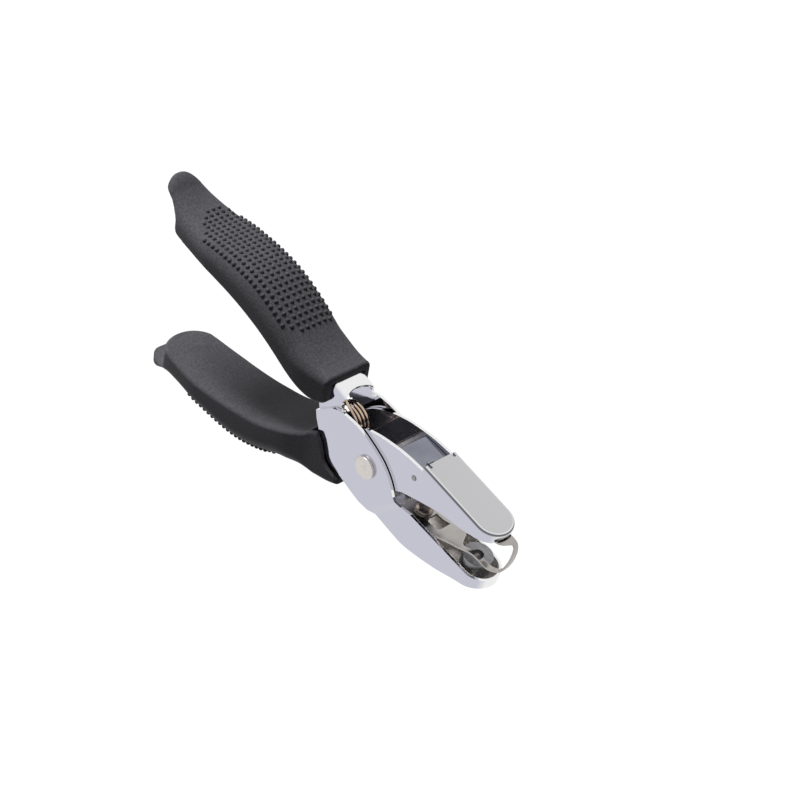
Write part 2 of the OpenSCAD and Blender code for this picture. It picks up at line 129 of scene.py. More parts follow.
def tidy_mesh(mesh, sharp_deg):
    """Doubles merged, normals outward, smooth shading with sharp edges above an angle."""
    work = bmesh.new()
    work.from_mesh(mesh)
    bmesh.ops.remove_doubles(work, verts=work.verts, dist=DOUBLES_REACH)
    bmesh.ops.recalc_face_normals(work, faces=work.faces)
    work.to_mesh(mesh)
    work.free()
    mesh.polygons.foreach_set("use_smooth", np.ones(len(mesh.polygons), bool))
    mesh.set_sharp_from_angle(angle=math.radians(sharp_deg))


def new_piece(name, vertices, faces, sharp_deg=SHARP_DEG):
    """Mesh object at the origin from vertices in metres, with outward faces, shaded smooth up to an angle."""
    mesh = bpy.data.meshes.new(name)
    mesh.from_pydata(np.asarray(vertices, float).reshape(-1, 3).tolist(), [], faces)
    obj = bpy.data.objects.new(name, mesh)
    bpy.context.scene.collection.objects.link(obj)
    tidy_mesh(mesh, sharp_deg)
    return obj


def ring_tube(rings):
    """Vertices and faces of a closed tube from rings of points, with flat ends."""
    rows, columns = rings.shape[:2]
    faces = grid_faces(rows, columns)
    faces.append(list(range(columns)))
    faces.append([(rows - 1) * columns + j for j in range(columns)])
    return rings.reshape(-1, 3), faces


def prism(name, outline, half):
    """Straight prism: a drawn outline carried from -half to +half across the part."""
    outline = np.asarray(outline, float)
    rings = np.stack([np.column_stack([outline, np.full(len(outline), z)]) for z in (-half, half)])
    return new_piece(name, *ring_tube(to_row(rings)))


def cut_away(obj, cutter):
    """Subtracts the cutter from obj and keeps the result as obj's own mesh."""
    cut = obj.modifiers.new("cut", "BOOLEAN")
    cut.operation = "DIFFERENCE"
    cut.solver = "EXACT"
    cut.object = cutter
    result = bpy.data.meshes.new_from_object(obj.evaluated_get(bpy.context.evaluated_depsgraph_get()))
    obj.modifiers.clear()
    old = obj.data
    obj.data = result
    result.name = obj.name
    bpy.data.meshes.remove(old)
    bpy.data.objects.remove(cutter)
    tidy_mesh(obj.data, SHARP_DEG)


# Grip sections: place along the handle, inner edge, outer edge, half width
WIDEST = 11.7
GRIP_TAIL = [[107.5, 28.5, 39, 6.6], [109.8, 30.5, 39.9, 5], [111.6, 32.5, 40, 3]]
UPPER_SECTIONS = [
    [21.4, 10.2, 19.4, 9.3], [24, 8.6, 19.4, 9.6], [29, 8, 20.2, 10.4], [36, 10.4, 22.7, 11.3],
    [48, 16.6, 28.8, WIDEST], [58, 20.2, 32.7, WIDEST], [68, 22.6, 34.1, WIDEST], [80, 24.4, 33.9, WIDEST],
    [89, 25.2, 33.4, 10.9], [96, 25.6, 34.2, 10], [101, 26.2, 35.6, 9.1], [104.6, 27, 37.2, 8], *GRIP_TAIL]
LOWER_SECTIONS = [
    [9.4, 0, 16.2, 9.2], [15, 0, 18.4, 9.6], [24, 3.2, 20.6, 9.8], [29, 7.2, 21.8, 10.4],
    [36, 10.9, 24.8, 11.3],
    [48, 16.2, 30.2, WIDEST], [58, 18.9, 33.3, WIDEST], [68, 20.9, 34.3, WIDEST], [80, 22.4, 33.9, WIDEST],
    [89, 22.6, 33.2, 11], [96, 22.4, 33.8, 10.2], [101, 22.3, 35.4, 9.2], [104.6, 22.8, 37.2, 8], *GRIP_TAIL]
SECTION_STEPS = 10

# Rounds of a grip: its two ends, its inner edges, and its outer edges as shares of the section
FRONT_ROUND = 1.3
TAIL_ROUND = 1.7
END_STEPS = 8
CORNER_STEPS = 10
LEAST_ROUND = 0.05
INNER_ROUND = 1.4
INNER_OF_HEIGHT = 0.4
INNER_OF_HALF = 0.8
OUTER_ROUND = 7.4
OUTER_OF_HEIGHT = 0.6
OUTER_OF_HALF = 0.8
OUTER_LIMIT = 0.9
OUTER_SPREAD = np.linspace(-5, 5, 11)
FRONT_CROWN = 2.4
FRONT_CROWN_END = 22.0
FRONT_CROWN_GROWTH = 0.3


def grip_sections(rows):
    """Dense sections of one grip: the listed ones joined by a smooth curve."""
    dense = smooth(rows, SECTION_STEPS)
    dense[:, 3] = np.minimum(dense[:, 3], WIDEST)
    return dense


def section_at(dense, u):
    """Inner edge, outer edge and half width at each u."""
    return tuple(np.interp(u, dense[:, 0], dense[:, k]) for k in (1, 2, 3))


def crown_radius(dense, u):
    """Round of the outer edges: a share of the section, averaged along the grip, and small at the front."""
    near = np.asarray(u, float)[..., None] + OUTER_SPREAD
    inner, outer, half = section_at(dense, near)
    share = np.minimum(np.minimum((outer - inner) * OUTER_OF_HEIGHT, half * OUTER_OF_HALF), OUTER_ROUND)
    front = FRONT_CROWN + FRONT_CROWN_GROWTH * np.maximum(u - FRONT_CROWN_END, 0)
    return np.minimum.reduce([share.mean(axis=-1), section_at(dense, u)[2] * OUTER_LIMIT, front])


def grip_rings(dense, side):
    """Rounded rectangles along the handle. At both ends the rectangle draws in on a quarter circle."""
    t = np.linspace(0, QUARTER_TURN, END_STEPS)
    first = dense[0, 0]
    last = dense[-1, 0]
    middle = dense[(dense[:, 0] > first + FRONT_ROUND) & (dense[:, 0] < last - TAIL_ROUND), 0]
    u = np.concatenate([first + FRONT_ROUND * (1 - np.cos(t)), middle,
                        last - TAIL_ROUND + TAIL_ROUND * np.sin(t)])
    inset = np.concatenate([FRONT_ROUND * (1 - np.sin(t)), np.zeros(len(middle)),
                            TAIL_ROUND * (1 - np.cos(t))])
    inner, outer, half = section_at(dense, u)
    small = np.minimum(np.minimum((outer - inner) * INNER_OF_HEIGHT, half * INNER_OF_HALF), INNER_ROUND)
    small = np.maximum(small - inset, LEAST_ROUND)
    large = np.maximum(crown_radius(dense, u) - inset, LEAST_ROUND)
    inner = inner + inset
    outer = outer - inset
    half = half - inset
    a = np.linspace(0, QUARTER_TURN, CORNER_STEPS)[:, None]
    w = np.concatenate([inner + small - small * np.sin(a), inner + small - small * np.cos(a),
                        outer - large + large * np.sin(a), outer - large + large * np.cos(a)])
    z = np.concatenate([half - small + small * np.cos(a), -half + small - small * np.sin(a),
                        -half + large - large * np.cos(a), half - large + large * np.sin(a)])
    flat = handle(np.broadcast_to(u, w.shape), w, side)
    return to_row(np.concatenate([flat, z[..., None]], axis=-1).transpose(1, 0, 2))


# Pocket in a grip for the sheet channel: clearance, spare length, and how far its open front reaches
GRIP_GAP = 0.1
POCKET_SPARE = 1.2
POCKET_FRONT = 5


def pocket_outline(side, front_u, front_w):
    """Outline of the room for the sheet channel; its open front goes on through the front points."""
    back = CHANNEL_END + POCKET_SPARE
    below = CHANNEL_DROP + GRIP_GAP
    u = [POCKET_FRONT, POCKET_FRONT, back, back, *front_u]
    w = [0, web_at(POCKET_FRONT) + GRIP_GAP, web_at(back) + GRIP_GAP, web_at(back) - below,
         web_at(front_u[0]) - below, *front_w]
    return handle(u, w, side)


# Blunt round end of a grip's inner side: where it starts, its length, half width and edge round
BLUNT_U = 94.5
BLUNT_L = 9.7
BLUNT_HALF = 10.6
BLUNT_ROUND = 1.4
BLUNT_STEPS = 33
# Hollow under the lip behind the blunt end: where its curve starts, and how far it spreads
LIP_W = 30.8
LIP_REACH = 8.0
LIP_STEPS = 7
# The cutter round the blunt end starts well inside the handles, and is longer and wider than a grip
CUTTER_W = 12
CUTTER_STEP = 0.4
CUTTER_L = 20.0
CUTTER_HALF = 16.0


def blunt_rings(side, face_w, lip_rise):
    """What is cut off round the blunt end: outside a half ellipse, which draws in on a quarter circle
    at the face and spreads on a quarter of an ellipse under the lip."""
    t = np.linspace(0, QUARTER_TURN, LIP_STEPS)
    w = np.concatenate([[CUTTER_W, face_w - CUTTER_STEP], face_w + BLUNT_ROUND * (1 - np.cos(t)),
                        LIP_W + lip_rise * np.sin(t)])
    inset = np.concatenate([[BLUNT_ROUND] * 2, BLUNT_ROUND * (1 - np.sin(t)),
                            LIP_REACH * (np.cos(t) - 1)])[:, None]
    turn = np.linspace(-QUARTER_TURN, QUARTER_TURN, BLUNT_STEPS)
    around = np.broadcast_to([0.0, CUTTER_L, CUTTER_L, 0.0], (len(w), 4))
    beside = np.broadcast_to([CUTTER_HALF, CUTTER_HALF, -CUTTER_HALF, -CUTTER_HALF], (len(w), 4))
    u = BLUNT_U + np.hstack([around, (BLUNT_L - inset) * np.cos(turn)])
    z = np.hstack([beside, (BLUNT_HALF - inset) * np.sin(turn)])
    flat = handle(u, np.broadcast_to(w[:, None], u.shape), side)
    return to_row(np.concatenate([flat, z[..., None]], axis=-1))


def make_grip(name, side, rows, face_w, lip_rise, front_u, front_w):
    """One grip: rounded sections along the handle, less the room round its blunt end and for the channel."""
    obj = new_piece(name, *ring_tube(grip_rings(grip_sections(rows), side)))
    cut_away(obj, new_piece(name + "_blunt", *ring_tube(blunt_rings(side, face_w, lip_rise))))
    cut_away(obj, prism(name + "_pocket", pocket_outline(side, front_u, front_w), HALF_W + GRIP_GAP))
    return obj


upper_grip = make_grip("upper_grip_soft", 1, UPPER_SECTIONS, face_w=26.2, lip_rise=6.0,
                       front_u=[28.4, 28.4], front_w=[0])
lower_grip = make_grip("lower_grip_soft", -1, LOWER_SECTIONS, face_w=22.4, lip_rise=2.5,
                       front_u=[29, 25.8, 25.8], front_w=[9, 0])

# Mouth of the lower grip, which takes in the ears, and its curved front edge
MOUTH = handle([5, 14, 26.2, 26.2, 5], [15.2, 15.2, 17.8, -2, -2], -1)
MOUTH_GAP = 0.35
FRONT_EDGE_STEPS = 6
FRONT_EDGE = smooth(handle([26.4, 24.2, 22.4, 20.6, 19, 18, 16.4, 14.4, 12.8, 11.8, 11.4, 11.4],
                           [-3, 0, 3, 5.2, 8.4, 10.8, 12.3, 13.2, 14, 15.2, 17.4, 22], -1), FRONT_EDGE_STEPS)
FRONT_CUT = np.vstack([FRONT_EDGE, handle([0, 0], [22, -3], -1)])
FRONT_CUT_HALF = 30
cut_away(lower_grip, prism("lower_grip_mouth", MOUTH, EAR_OUT + MOUTH_GAP))
cut_away(lower_grip, prism("lower_grip_front", FRONT_CUT, FRONT_CUT_HALF))

# Bumps on the outer faces of the grips: spacing and shape
BUMP_ALONG = 2.1
BUMP_ACROSS = 2.35
BUMP_COLUMNS = 9
BUMP_R = 0.82
BUMP_H = 0.74
BUMP_SUNK = 0.12
BUMP_RISE = np.radians([0, 35, 65])
BUMP_SIDES = 8
BUMP_SHARP_DEG = 80
# Field of bumps: front and rear ends, middle line, the bow of its front and the slant of its rear corners
FIELD_FRONT = 38.2
FIELD_REAR = 95.6
FIELD_MIDDLE = -2.0
FIELD_HALF = 11
FIELD_BOW = 5.5
FIELD_SLANT = 1.17
FIELD_SLANT_FROM = 3
SLOPE_STEP = 0.5


def bump_places():
    """Square grid of places along the handle and across the outer face, in a field with round corners."""
    across = (np.arange(BUMP_COLUMNS) - (BUMP_COLUMNS - 1) / 2) * BUMP_ACROSS
    along = np.arange(FIELD_FRONT, FIELD_REAR, BUMP_ALONG)
    s, u = np.meshgrid(across, along, indexing="ij")
    off = np.abs(s - FIELD_MIDDLE)
    first = FIELD_FRONT + FIELD_BOW * (off / FIELD_HALF) ** 2
    last = FIELD_REAR - FIELD_SLANT * np.maximum(off - FIELD_SLANT_FROM, 0)
    inside = (u >= first) & (u <= last)
    return u[inside], s[inside]


def outer_face(dense, u, s, side):
    """Point, outward normal and lengthwise direction on a grip's outer face, s across it by arc length."""
    outer, half = section_at(dense, u)[1:]
    round_r = crown_radius(dense, u)
    flat = half - round_r
    turn = np.clip((np.abs(s) - flat) / round_r, 0, QUARTER_TURN)
    z = np.sign(s) * (np.minimum(np.abs(s), flat) + round_r * np.sin(turn))
    w = outer - round_r * (1 - np.cos(turn))
    rise = section_at(dense, u + SLOPE_STEP)[1] - section_at(dense, u - SLOPE_STEP)[1]
    slope = rise / (2 * SLOPE_STEP)
    point = to_row(np.column_stack([handle(u, w, side), z]))
    normal = np.column_stack([handle(-slope * np.cos(turn), np.cos(turn), side), np.sign(s) * np.sin(turn)])
    forward = np.column_stack([handle(np.ones(len(u)), slope, side), np.zeros(len(u))])
    return point, unit_rows(normal), unit_rows(forward)


def make_bumps(name, side, rows):
    """Low domes set on the outer face: a few rings that rise on a quarter of an ellipse, and a top point."""
    u, s = bump_places()
    point, normal, forward = outer_face(grip_sections(rows), u, s, side)
    axes = np.stack([forward, np.cross(normal, forward), normal], axis=1)
    turn = np.linspace(0, FULL_TURN, BUMP_SIDES, endpoint=False)
    radius = (BUMP_R * np.cos(BUMP_RISE))[:, None]
    lift = ((BUMP_H + BUMP_SUNK) * np.sin(BUMP_RISE) - BUMP_SUNK)[:, None]
    lift = np.broadcast_to(lift, (len(BUMP_RISE), BUMP_SIDES))
    shape = np.stack([radius * np.cos(turn), radius * np.sin(turn), lift], axis=-1).reshape(-1, 3)
    shape = np.vstack([shape, [0, 0, BUMP_H]]) * MM
    vertices = point[:, None, :] + np.einsum("vk,nkx->nvx", shape, axes)
    j = np.arange(BUMP_SIDES)
    k = (j + 1) % BUMP_SIDES
    top_point = len(shape) - 1
    last_ring = top_point - BUMP_SIDES
    sides = np.array(grid_faces(len(BUMP_RISE), BUMP_SIDES))
    top = np.stack([last_ring + j, last_ring + k, np.full(BUMP_SIDES, top_point)], axis=-1)
    start = (np.arange(len(u)) * len(shape))[:, None, None]
    faces = (start + sides).reshape(-1, 4).tolist() + (start + top).reshape(-1, 3).tolist()
    base = (start[:, 0] + j[::-1]).tolist()
    return new_piece(name, vertices, faces + base, BUMP_SHARP_DEG)


upper_bumps = make_bumps("upper_grip_bumps", 1, UPPER_SECTIONS)
lower_bumps = make_bumps("lower_grip_bumps", -1, LOWER_SECTIONS)

# Return spring: wire, coil from its first to its last angle in degrees, and two legs
WIRE_D = 0.9
WIRE_SIDES = 12
COIL_R = 5.55
COIL_PITCH = 1.4
COIL_TURNS = 3
COIL_MIDDLE = np.array([-15.6, 4.0])
COIL_FIRST = 62.0
COIL_LAST = -30.0 - 360.0 * COIL_TURNS
COIL_POINTS = 157
COIL_TOP = 4.9
LEG_UP = 7.5
LEG_UP_POINTS = 10
LEG_DOWN = 21.8
LEG_DOWN_POINTS = 24
LEG_STEP = 0.5


def spring_path():
    """A helix about the coil's middle, with a straight leg along the tangent at each end."""
    a = np.linspace(COIL_FIRST, COIL_LAST, COIL_POINTS)
    r = np.radians(a)
    coil = np.column_stack([COIL_MIDDLE[0] + COIL_R * np.cos(r), COIL_MIDDLE[1] + COIL_R * np.sin(r),
                            COIL_TOP - COIL_PITCH * (COIL_FIRST - a) / 360])
    up = np.array([-math.sin(r[0]), math.cos(r[0]), 0])
    down = np.array([math.sin(r[-1]), -math.cos(r[-1]), 0])
    start = coil[0] + np.linspace(LEG_UP, LEG_STEP, LEG_UP_POINTS)[:, None] * up
    stop = coil[-1] + np.linspace(LEG_STEP, LEG_DOWN, LEG_DOWN_POINTS)[:, None] * down
    return np.vstack([start, coil, stop])


def wire_rings(path):
    """The wire's circle carried along the path, square to its tangent, with one axis kept level."""
    tangent = unit_rows(np.gradient(path, axis=0))
    level = unit_rows(np.cross(tangent, [0, 0, 1.0]))
    upright = np.cross(level, tangent)
    turn = np.linspace(0, FULL_TURN, WIRE_SIDES, endpoint=False)[None, :, None]
    circle = np.cos(turn) * level[:, None] + np.sin(turn) * upright[:, None]
    return to_row(path[:, None] + WIRE_D / 2 * circle)


spring = new_piece("return_spring_wire", *ring_tube(wire_rings(spring_path())))

# Stripper strip: a foot on the jaw's floor, a loop before the nose and a pad on the upper jaw
STRIP_T = 0.7
STRIP_EDGE = 0.12
STRIP_SIDE_GAP = 0.25
STRIP_HALF = HALF_W - SHEET - STRIP_SIDE_GAP
STRIP_LOW = -5.8
STRIP_Z = 0.5
STRIP_STEPS = 10
PAD_HALF = 3.0
LOOP_HALF = 0.95
PAD_TAPER = 0.6
LOOP_Z = -1.7
# Stations along the strip: x, y, middle and half width across
STRIP_STATIONS = [
    [14.6, STRIP_LOW, 0, STRIP_HALF], [20, STRIP_LOW, 0, STRIP_HALF], [25.6, STRIP_LOW, 0, STRIP_HALF],
    [31, -4.1, 0, STRIP_HALF], [35.4, -2.3, 1.4, 3.9], [39.5, -0.6, 4.2, 1.1], [44, 1.4, 4.3, 1],
    [47.4, 1.5, 4.1, 1], [50, -0.3, 2.7, 1.1], [52.2, -0.6, 1.2, LOOP_HALF], [53.8, 1, 0.2, LOOP_HALF],
    [54.5, 4.4, -0.8, LOOP_HALF], [54.2, 8.2, LOOP_Z, LOOP_HALF], [53.3, 10.7, LOOP_Z, LOOP_HALF],
    [52, 11.5, -0.1, PAD_HALF - PAD_TAPER], [50.4, 11.5, STRIP_Z, PAD_HALF], [48.4, 11.1, STRIP_Z, PAD_HALF]]
WINDOW = [[23, -9], [29, -9], [29, -1], [23, -1]]
WINDOW_HALF = 2.3


def strip_rings():
    """A thin rectangle with broken edges, carried along the strip's smooth line square to it."""
    line = smooth(STRIP_STATIONS, STRIP_STEPS)
    tangent = unit_rows(np.gradient(line[:, :2], axis=0))
    normal = np.column_stack([-tangent[:, 1], tangent[:, 0]])
    thick = STRIP_T / 2
    inner = thick - STRIP_EDGE
    lift = np.array([thick, inner, -inner, -thick, -thick, -inner, inner, thick])
    reach = np.array([1, 1, 1, 1, -1, -1, -1, -1])
    trim = np.array([STRIP_EDGE, 0, 0, STRIP_EDGE, STRIP_EDGE, 0, 0, STRIP_EDGE])
    flat = line[:, None, :2] + lift[None, :, None] * normal[:, None]
    z = line[:, 2, None] + reach * (line[:, 3, None] - trim)
    return to_row(np.concatenate([flat, z[..., None]], axis=-1))


strip = new_piece("stripper_strip_leaf", *ring_tube(strip_rings()))
cut_away(strip, prism("strip_window", WINDOW, WINDOW_HALF))

# Shader nodes. The Mix node has one set of sockets for each kind of value; these are its colours.
MIX_FIRST = 6
MIX_SECOND = 7
MIX_RESULT = 2
NOISE_LOW = 0.3
NOISE_HIGH = 0.7


def new_material(name):
    """A new material with its node tree and shader."""
    material = bpy.data.materials.new(name)
    material.use_nodes = True
    return material, material.node_tree, material.node_tree.nodes["Principled BSDF"]


def feed(tree, socket, value):
    """Joins a socket to another one, or sets it to a number, a vector or a colour."""
    if isinstance(value, bpy.types.NodeSocket):
        tree.links.new(value, socket)
    elif socket.type == "RGBA":
        socket.default_value = (*value, 1)
    else:
        socket.default_value = value


def calc(tree, kind, operation, *values):
    """A new node of arithmetic, Math or VectorMath, fed with sockets or values."""
    node = tree.nodes.new("ShaderNode" + kind)
    node.operation = operation
    for socket, value in zip(node.inputs, values):
        feed(tree, socket, value)
    return node.outputs["Value"]


def split_axes(tree, vector):
    """The three parts of a vector."""
    node = tree.nodes.new("ShaderNodeSeparateXYZ")
    feed(tree, node.inputs["Vector"], vector)
    return node.outputs["X"], node.outputs["Y"], node.outputs["Z"]


def ramp_between(tree, value, low, high, first=0.0, last=1.0):
    """First on one side of low, last on the other side of high, straight between."""
    node = tree.nodes.new("ShaderNodeMapRange")
    settings = {"Value": value, "From Min": low, "From Max": high, "To Min": first, "To Max": last}
    for name, setting in settings.items():
        feed(tree, node.inputs[name], setting)
    return node.outputs["Result"]


def mix_colour(tree, part, first, second):
    """First colour where part is nought, second where it is one; each is a colour or a socket."""
    node = tree.nodes.new("ShaderNodeMix")
    node.data_type = "RGBA"
    feed(tree, node.inputs["Factor"], part)
    feed(tree, node.inputs[MIX_FIRST], first)
    feed(tree, node.inputs[MIX_SECOND], second)
    return node.outputs[MIX_RESULT]


def object_noise(tree, scale, detail=3.0):
    """Noise on Object coordinates; scale is in waves per metre."""
    place = tree.nodes.new("ShaderNodeTexCoord")
    noise = tree.nodes.new("ShaderNodeTexNoise")
    feed(tree, noise.inputs["Scale"], scale)
    feed(tree, noise.inputs["Detail"], detail)
    feed(tree, noise.inputs["Vector"], place.outputs["Object"])
    return noise.outputs["Fac"]


def add_bump(tree, shader, height, distance, strength):
    """Fine relief from a noise."""
    bump = tree.nodes.new("ShaderNodeBump")
    feed(tree, bump.inputs["Distance"], distance)
    feed(tree, bump.inputs["Strength"], strength)
    feed(tree, bump.inputs["Height"], height)
    feed(tree, shader.inputs["Normal"], bump.outputs["Normal"])


def shade(tree, shader, noise, dark, light, rough):
    """Colour that wanders between two near shades, and gloss between two near levels, with a noise."""
    ramp = tree.nodes.new("ShaderNodeValToRGB")
    for element, place, colour in zip(ramp.color_ramp.elements, (NOISE_LOW, NOISE_HIGH), (dark, light)):
        element.position = place
        element.color = (*colour, 1)
    feed(tree, ramp.inputs["Fac"], noise)
    feed(tree, shader.inputs["Base Color"], ramp.outputs["Color"])
    feed(tree, shader.inputs["Roughness"], ramp_between(tree, noise, NOISE_LOW, NOISE_HIGH, *rough))


# Metals and rubber
METAL_RELIEF_SCALE = 3
METAL_RELIEF_STRENGTH = 0.3
GRAIN_SCALE = 1500
GRAIN_DETAIL = 4.0
GRAIN_DEPTH = 0.1 * MM
GRAIN_STRENGTH = 0.6
RUBBER_ROUGH = (0.5, 0.68)
RUBBER_SPECULAR = 0.04


def metal(name, dark, light, rough, scale, relief=0.0):
    """Metal with slightly uneven shade and gloss; relief is its depth in millimetres."""
    material, tree, shader = new_material(name)
    feed(tree, shader.inputs["Metallic"], 1.0)
    shade(tree, shader, object_noise(tree, scale), dark, light, rough)
    if relief:
        grain = object_noise(tree, scale * METAL_RELIEF_SCALE)
        add_bump(tree, shader, grain, relief * MM, METAL_RELIEF_STRENGTH)
    return material


def soft_grip(name, dark, light):
    """Matt moulded rubber: fine grain in relief, shade and gloss."""
    material, tree, shader = new_material(name)
    grain = object_noise(tree, GRAIN_SCALE, GRAIN_DETAIL)
    shade(tree, shader, grain, dark, light, RUBBER_ROUGH)
    feed(tree, shader.inputs["Specular IOR Level"], RUBBER_SPECULAR)
    add_bump(tree, shader, grain, GRAIN_DEPTH, GRAIN_STRENGTH)
    return material


# Plating: its colours, with a painted highlight and a painted dark reflection line among them, and where they
# change into each other
PLATE_COLOUR = (0.54, 0.54, 0.62)
# Painted highlight colour, for edges and faces that face neither sideways nor down
PAINTED_HIGHLIGHT_COLOUR = (0.80, 0.80, 0.80)
# Colour of the painted dark reflection line under the cap's edge
PAINTED_DARK_LINE_COLOUR = (0.14, 0.14, 0.16)
SATIN_COLOUR = (0.54, 0.54, 0.55)
PLATE_ROUGH = 0.07
SATIN_ROUGH = 0.34
PLATE_GRAIN_SCALE = 5000
PLATE_GRAIN_DEPTH = 0.002 * MM
PLATE_GRAIN_STRENGTH = 0.2
WALL = HALF_W - SHEET
WALL_FADE = ((WALL + 0.15) * MM, (WALL + 0.08) * MM)
INNER_FADE = 3 * MM
BACK_FADE = (0.6, 0.4)
PAINTED_HIGHLIGHT_FADE = (0.45, 0.75)
# Depths below the cap's top, in millimetres: the satin's edge, and the two edges of the painted dark
# reflection line under it
CAP_FADE = (0.12, 0.04)
PAINTED_LINE_FADE_LOW = (0.9, 0.6)
PAINTED_LINE_FADE_HIGH = (0.15, 0.3)
CAP_NORMAL = (math.sin(CAP_SLOPE), math.cos(CAP_SLOPE), 0)
CAP_LEVEL = float(np.dot(to_row([*CAP_REAR, 0]), CAP_NORMAL))


def inside_jaw(tree, place, facing_y, inner_from, nose_x, back):
    """One on the inside of a jaw: between its walls, round its nose, and not on the side that faces back."""
    x, _, z = split_axes(tree, place)
    past_nose = calc(tree, "Math", "MAXIMUM", calc(tree, "Math", "SUBTRACT", x, nose_x), 0.0)
    off_middle = calc(tree, "Math", "SUBTRACT", z, PIVOT[2] * MM)
    reach = tree.nodes.new("ShaderNodeCombineXYZ")
    feed(tree, reach.inputs["X"], past_nose)
    feed(tree, reach.inputs["Z"], off_middle)
    from_middle = calc(tree, "VectorMath", "LENGTH", reach.outputs["Vector"])
    between = ramp_between(tree, from_middle, *WALL_FADE)
    ahead = ramp_between(tree, x, inner_from - INNER_FADE, inner_from + INNER_FADE)
    not_back = ramp_between(tree, facing_y, BACK_FADE[0] * back, BACK_FADE[1] * back)
    return calc(tree, "Math", "MULTIPLY", calc(tree, "Math", "MULTIPLY", between, ahead), not_back)


def below_cap(tree, height, depths):
    """Nought at the first depth below the cap's top, one at the second."""
    return ramp_between(tree, height, CAP_LEVEL - depths[0] * MM, CAP_LEVEL - depths[1] * MM)


def plated_sheet(name, inner_colour, inner_metal, inner_from, nose_x, back):
    """Mirror plating: bluish flanks, a painted highlight on edges and on faces that face neither sideways nor
    down, another colour inside, a painted dark reflection line under the satin cap.
    Back is 1 or -1, the way along Y that the jaw's closed side faces."""
    material, tree, shader = new_material(name)
    coordinates = tree.nodes.new("ShaderNodeTexCoord")
    place = coordinates.outputs["Object"]
    _, facing_y, facing_z = split_axes(tree, coordinates.outputs["Normal"])
    inner = inside_jaw(tree, place, facing_y, inner_from, nose_x, back)
    height = calc(tree, "VectorMath", "DOT_PRODUCT", place, CAP_NORMAL)
    cap = below_cap(tree, height, CAP_FADE)
    # Painted dark reflection line in a band just under the cap's top
    line = calc(tree, "Math", "MULTIPLY", below_cap(tree, height, PAINTED_LINE_FADE_LOW),
                below_cap(tree, height, PAINTED_LINE_FADE_HIGH))
    # Painted highlight: faces that face neither sideways nor down get the bright colour instead of the
    # plate's own, standing in for the light on rims and upper faces
    sideways = calc(tree, "Math", "ABSOLUTE", facing_z)
    downward = calc(tree, "Math", "MULTIPLY", facing_y, -1.0)
    no_painted_highlight = ramp_between(tree, calc(tree, "Math", "MAXIMUM", sideways, downward), *PAINTED_HIGHLIGHT_FADE)
    outside = mix_colour(tree, no_painted_highlight, PAINTED_HIGHLIGHT_COLOUR, PLATE_COLOUR)
    with_painted_line = mix_colour(tree, line, outside, PAINTED_DARK_LINE_COLOUR)
    sheet = mix_colour(tree, inner, with_painted_line, inner_colour)
    feed(tree, shader.inputs["Base Color"], mix_colour(tree, cap, sheet, SATIN_COLOUR))
    feed(tree, shader.inputs["Metallic"], ramp_between(tree, inner, 0.0, 1.0, 1.0, inner_metal))
    feed(tree, shader.inputs["Roughness"], ramp_between(tree, cap, 0.0, 1.0, PLATE_ROUGH, SATIN_ROUGH))
    grain = object_noise(tree, PLATE_GRAIN_SCALE)
    add_bump(tree, shader, grain, PLATE_GRAIN_DEPTH, PLATE_GRAIN_STRENGTH)
    return material


# Finishes
UPPER_INNER_FROM = 0.030
LOWER_INNER_FROM = 0.072
UPPER_NOSE = to_row([44.2, 0, 0])[0]
LOWER_NOSE = to_row([45.4, 0, 0])[0]
plating = plated_sheet("bright_plating", (0.46, 0.46, 0.52), inner_metal=0.85,
                       inner_from=UPPER_INNER_FROM, nose_x=UPPER_NOSE, back=1)
# Inside the lower jaw: an unmirrored finish whose colour is raised nearly to white, painted fill light on the
# shaded inside
plating_lower = plated_sheet("bright_plating_lower", (0.95, 0.91, 0.87), inner_metal=0.0,
                             inner_from=LOWER_INNER_FROM, nose_x=LOWER_NOSE, back=-1)
rubber = soft_grip("charcoal_rubber", (0.044, 0.044, 0.048), (0.078, 0.078, 0.086))
nickel = metal("rivet_nickel", (0.58, 0.55, 0.52), (0.66, 0.63, 0.60), (0.22, 0.34), 700, 0.01)
spring_steel = metal("spring_copper_steel", (0.45, 0.33, 0.25), (0.62, 0.50, 0.40), (0.16, 0.3), 500)
carrier_steel = metal("carrier_steel", (0.20, 0.21, 0.25), (0.26, 0.27, 0.31), (0.10, 0.16), 150)
pin_steel = metal("pin_steel", (0.40, 0.40, 0.41), (0.50, 0.50, 0.51), (0.14, 0.24), 600)
cross_steel = metal("cross_pin_steel", (0.20, 0.20, 0.21), (0.30, 0.30, 0.31), (0.2, 0.3), 900)
die_steel = metal("die_steel", (0.20, 0.20, 0.21), (0.30, 0.30, 0.31), (0.28, 0.4), 700, 0.01)
strip_steel = metal("strip_steel", (0.36, 0.34, 0.32), (0.42, 0.40, 0.38), (0.14, 0.22), 200)
post_steel = metal("post_copper_steel", (0.24, 0.20, 0.18), (0.32, 0.27, 0.24), (0.24, 0.36), 700)

# Solids that are shown as they are: finish and width of the broken edges
DRESSED = {
    "die_lever": (plating_lower, 0.28), "punch_lever": (plating, 0.2), "pivot_rivet": (nickel, 0.14),
    "punch_carrier": (carrier_steel, 0.12), "carrier_pin": (cross_steel, 0.12), "punch_pin": (pin_steel, 0.1),
    "die_button": (die_steel, 0.15), "strip_post": (post_steel, 0.15)}
WELD_REACH = 1e-6
FLAT_DEG = 0.5
EDGE_SEGMENTS = 2
EDGE_DEG = 40


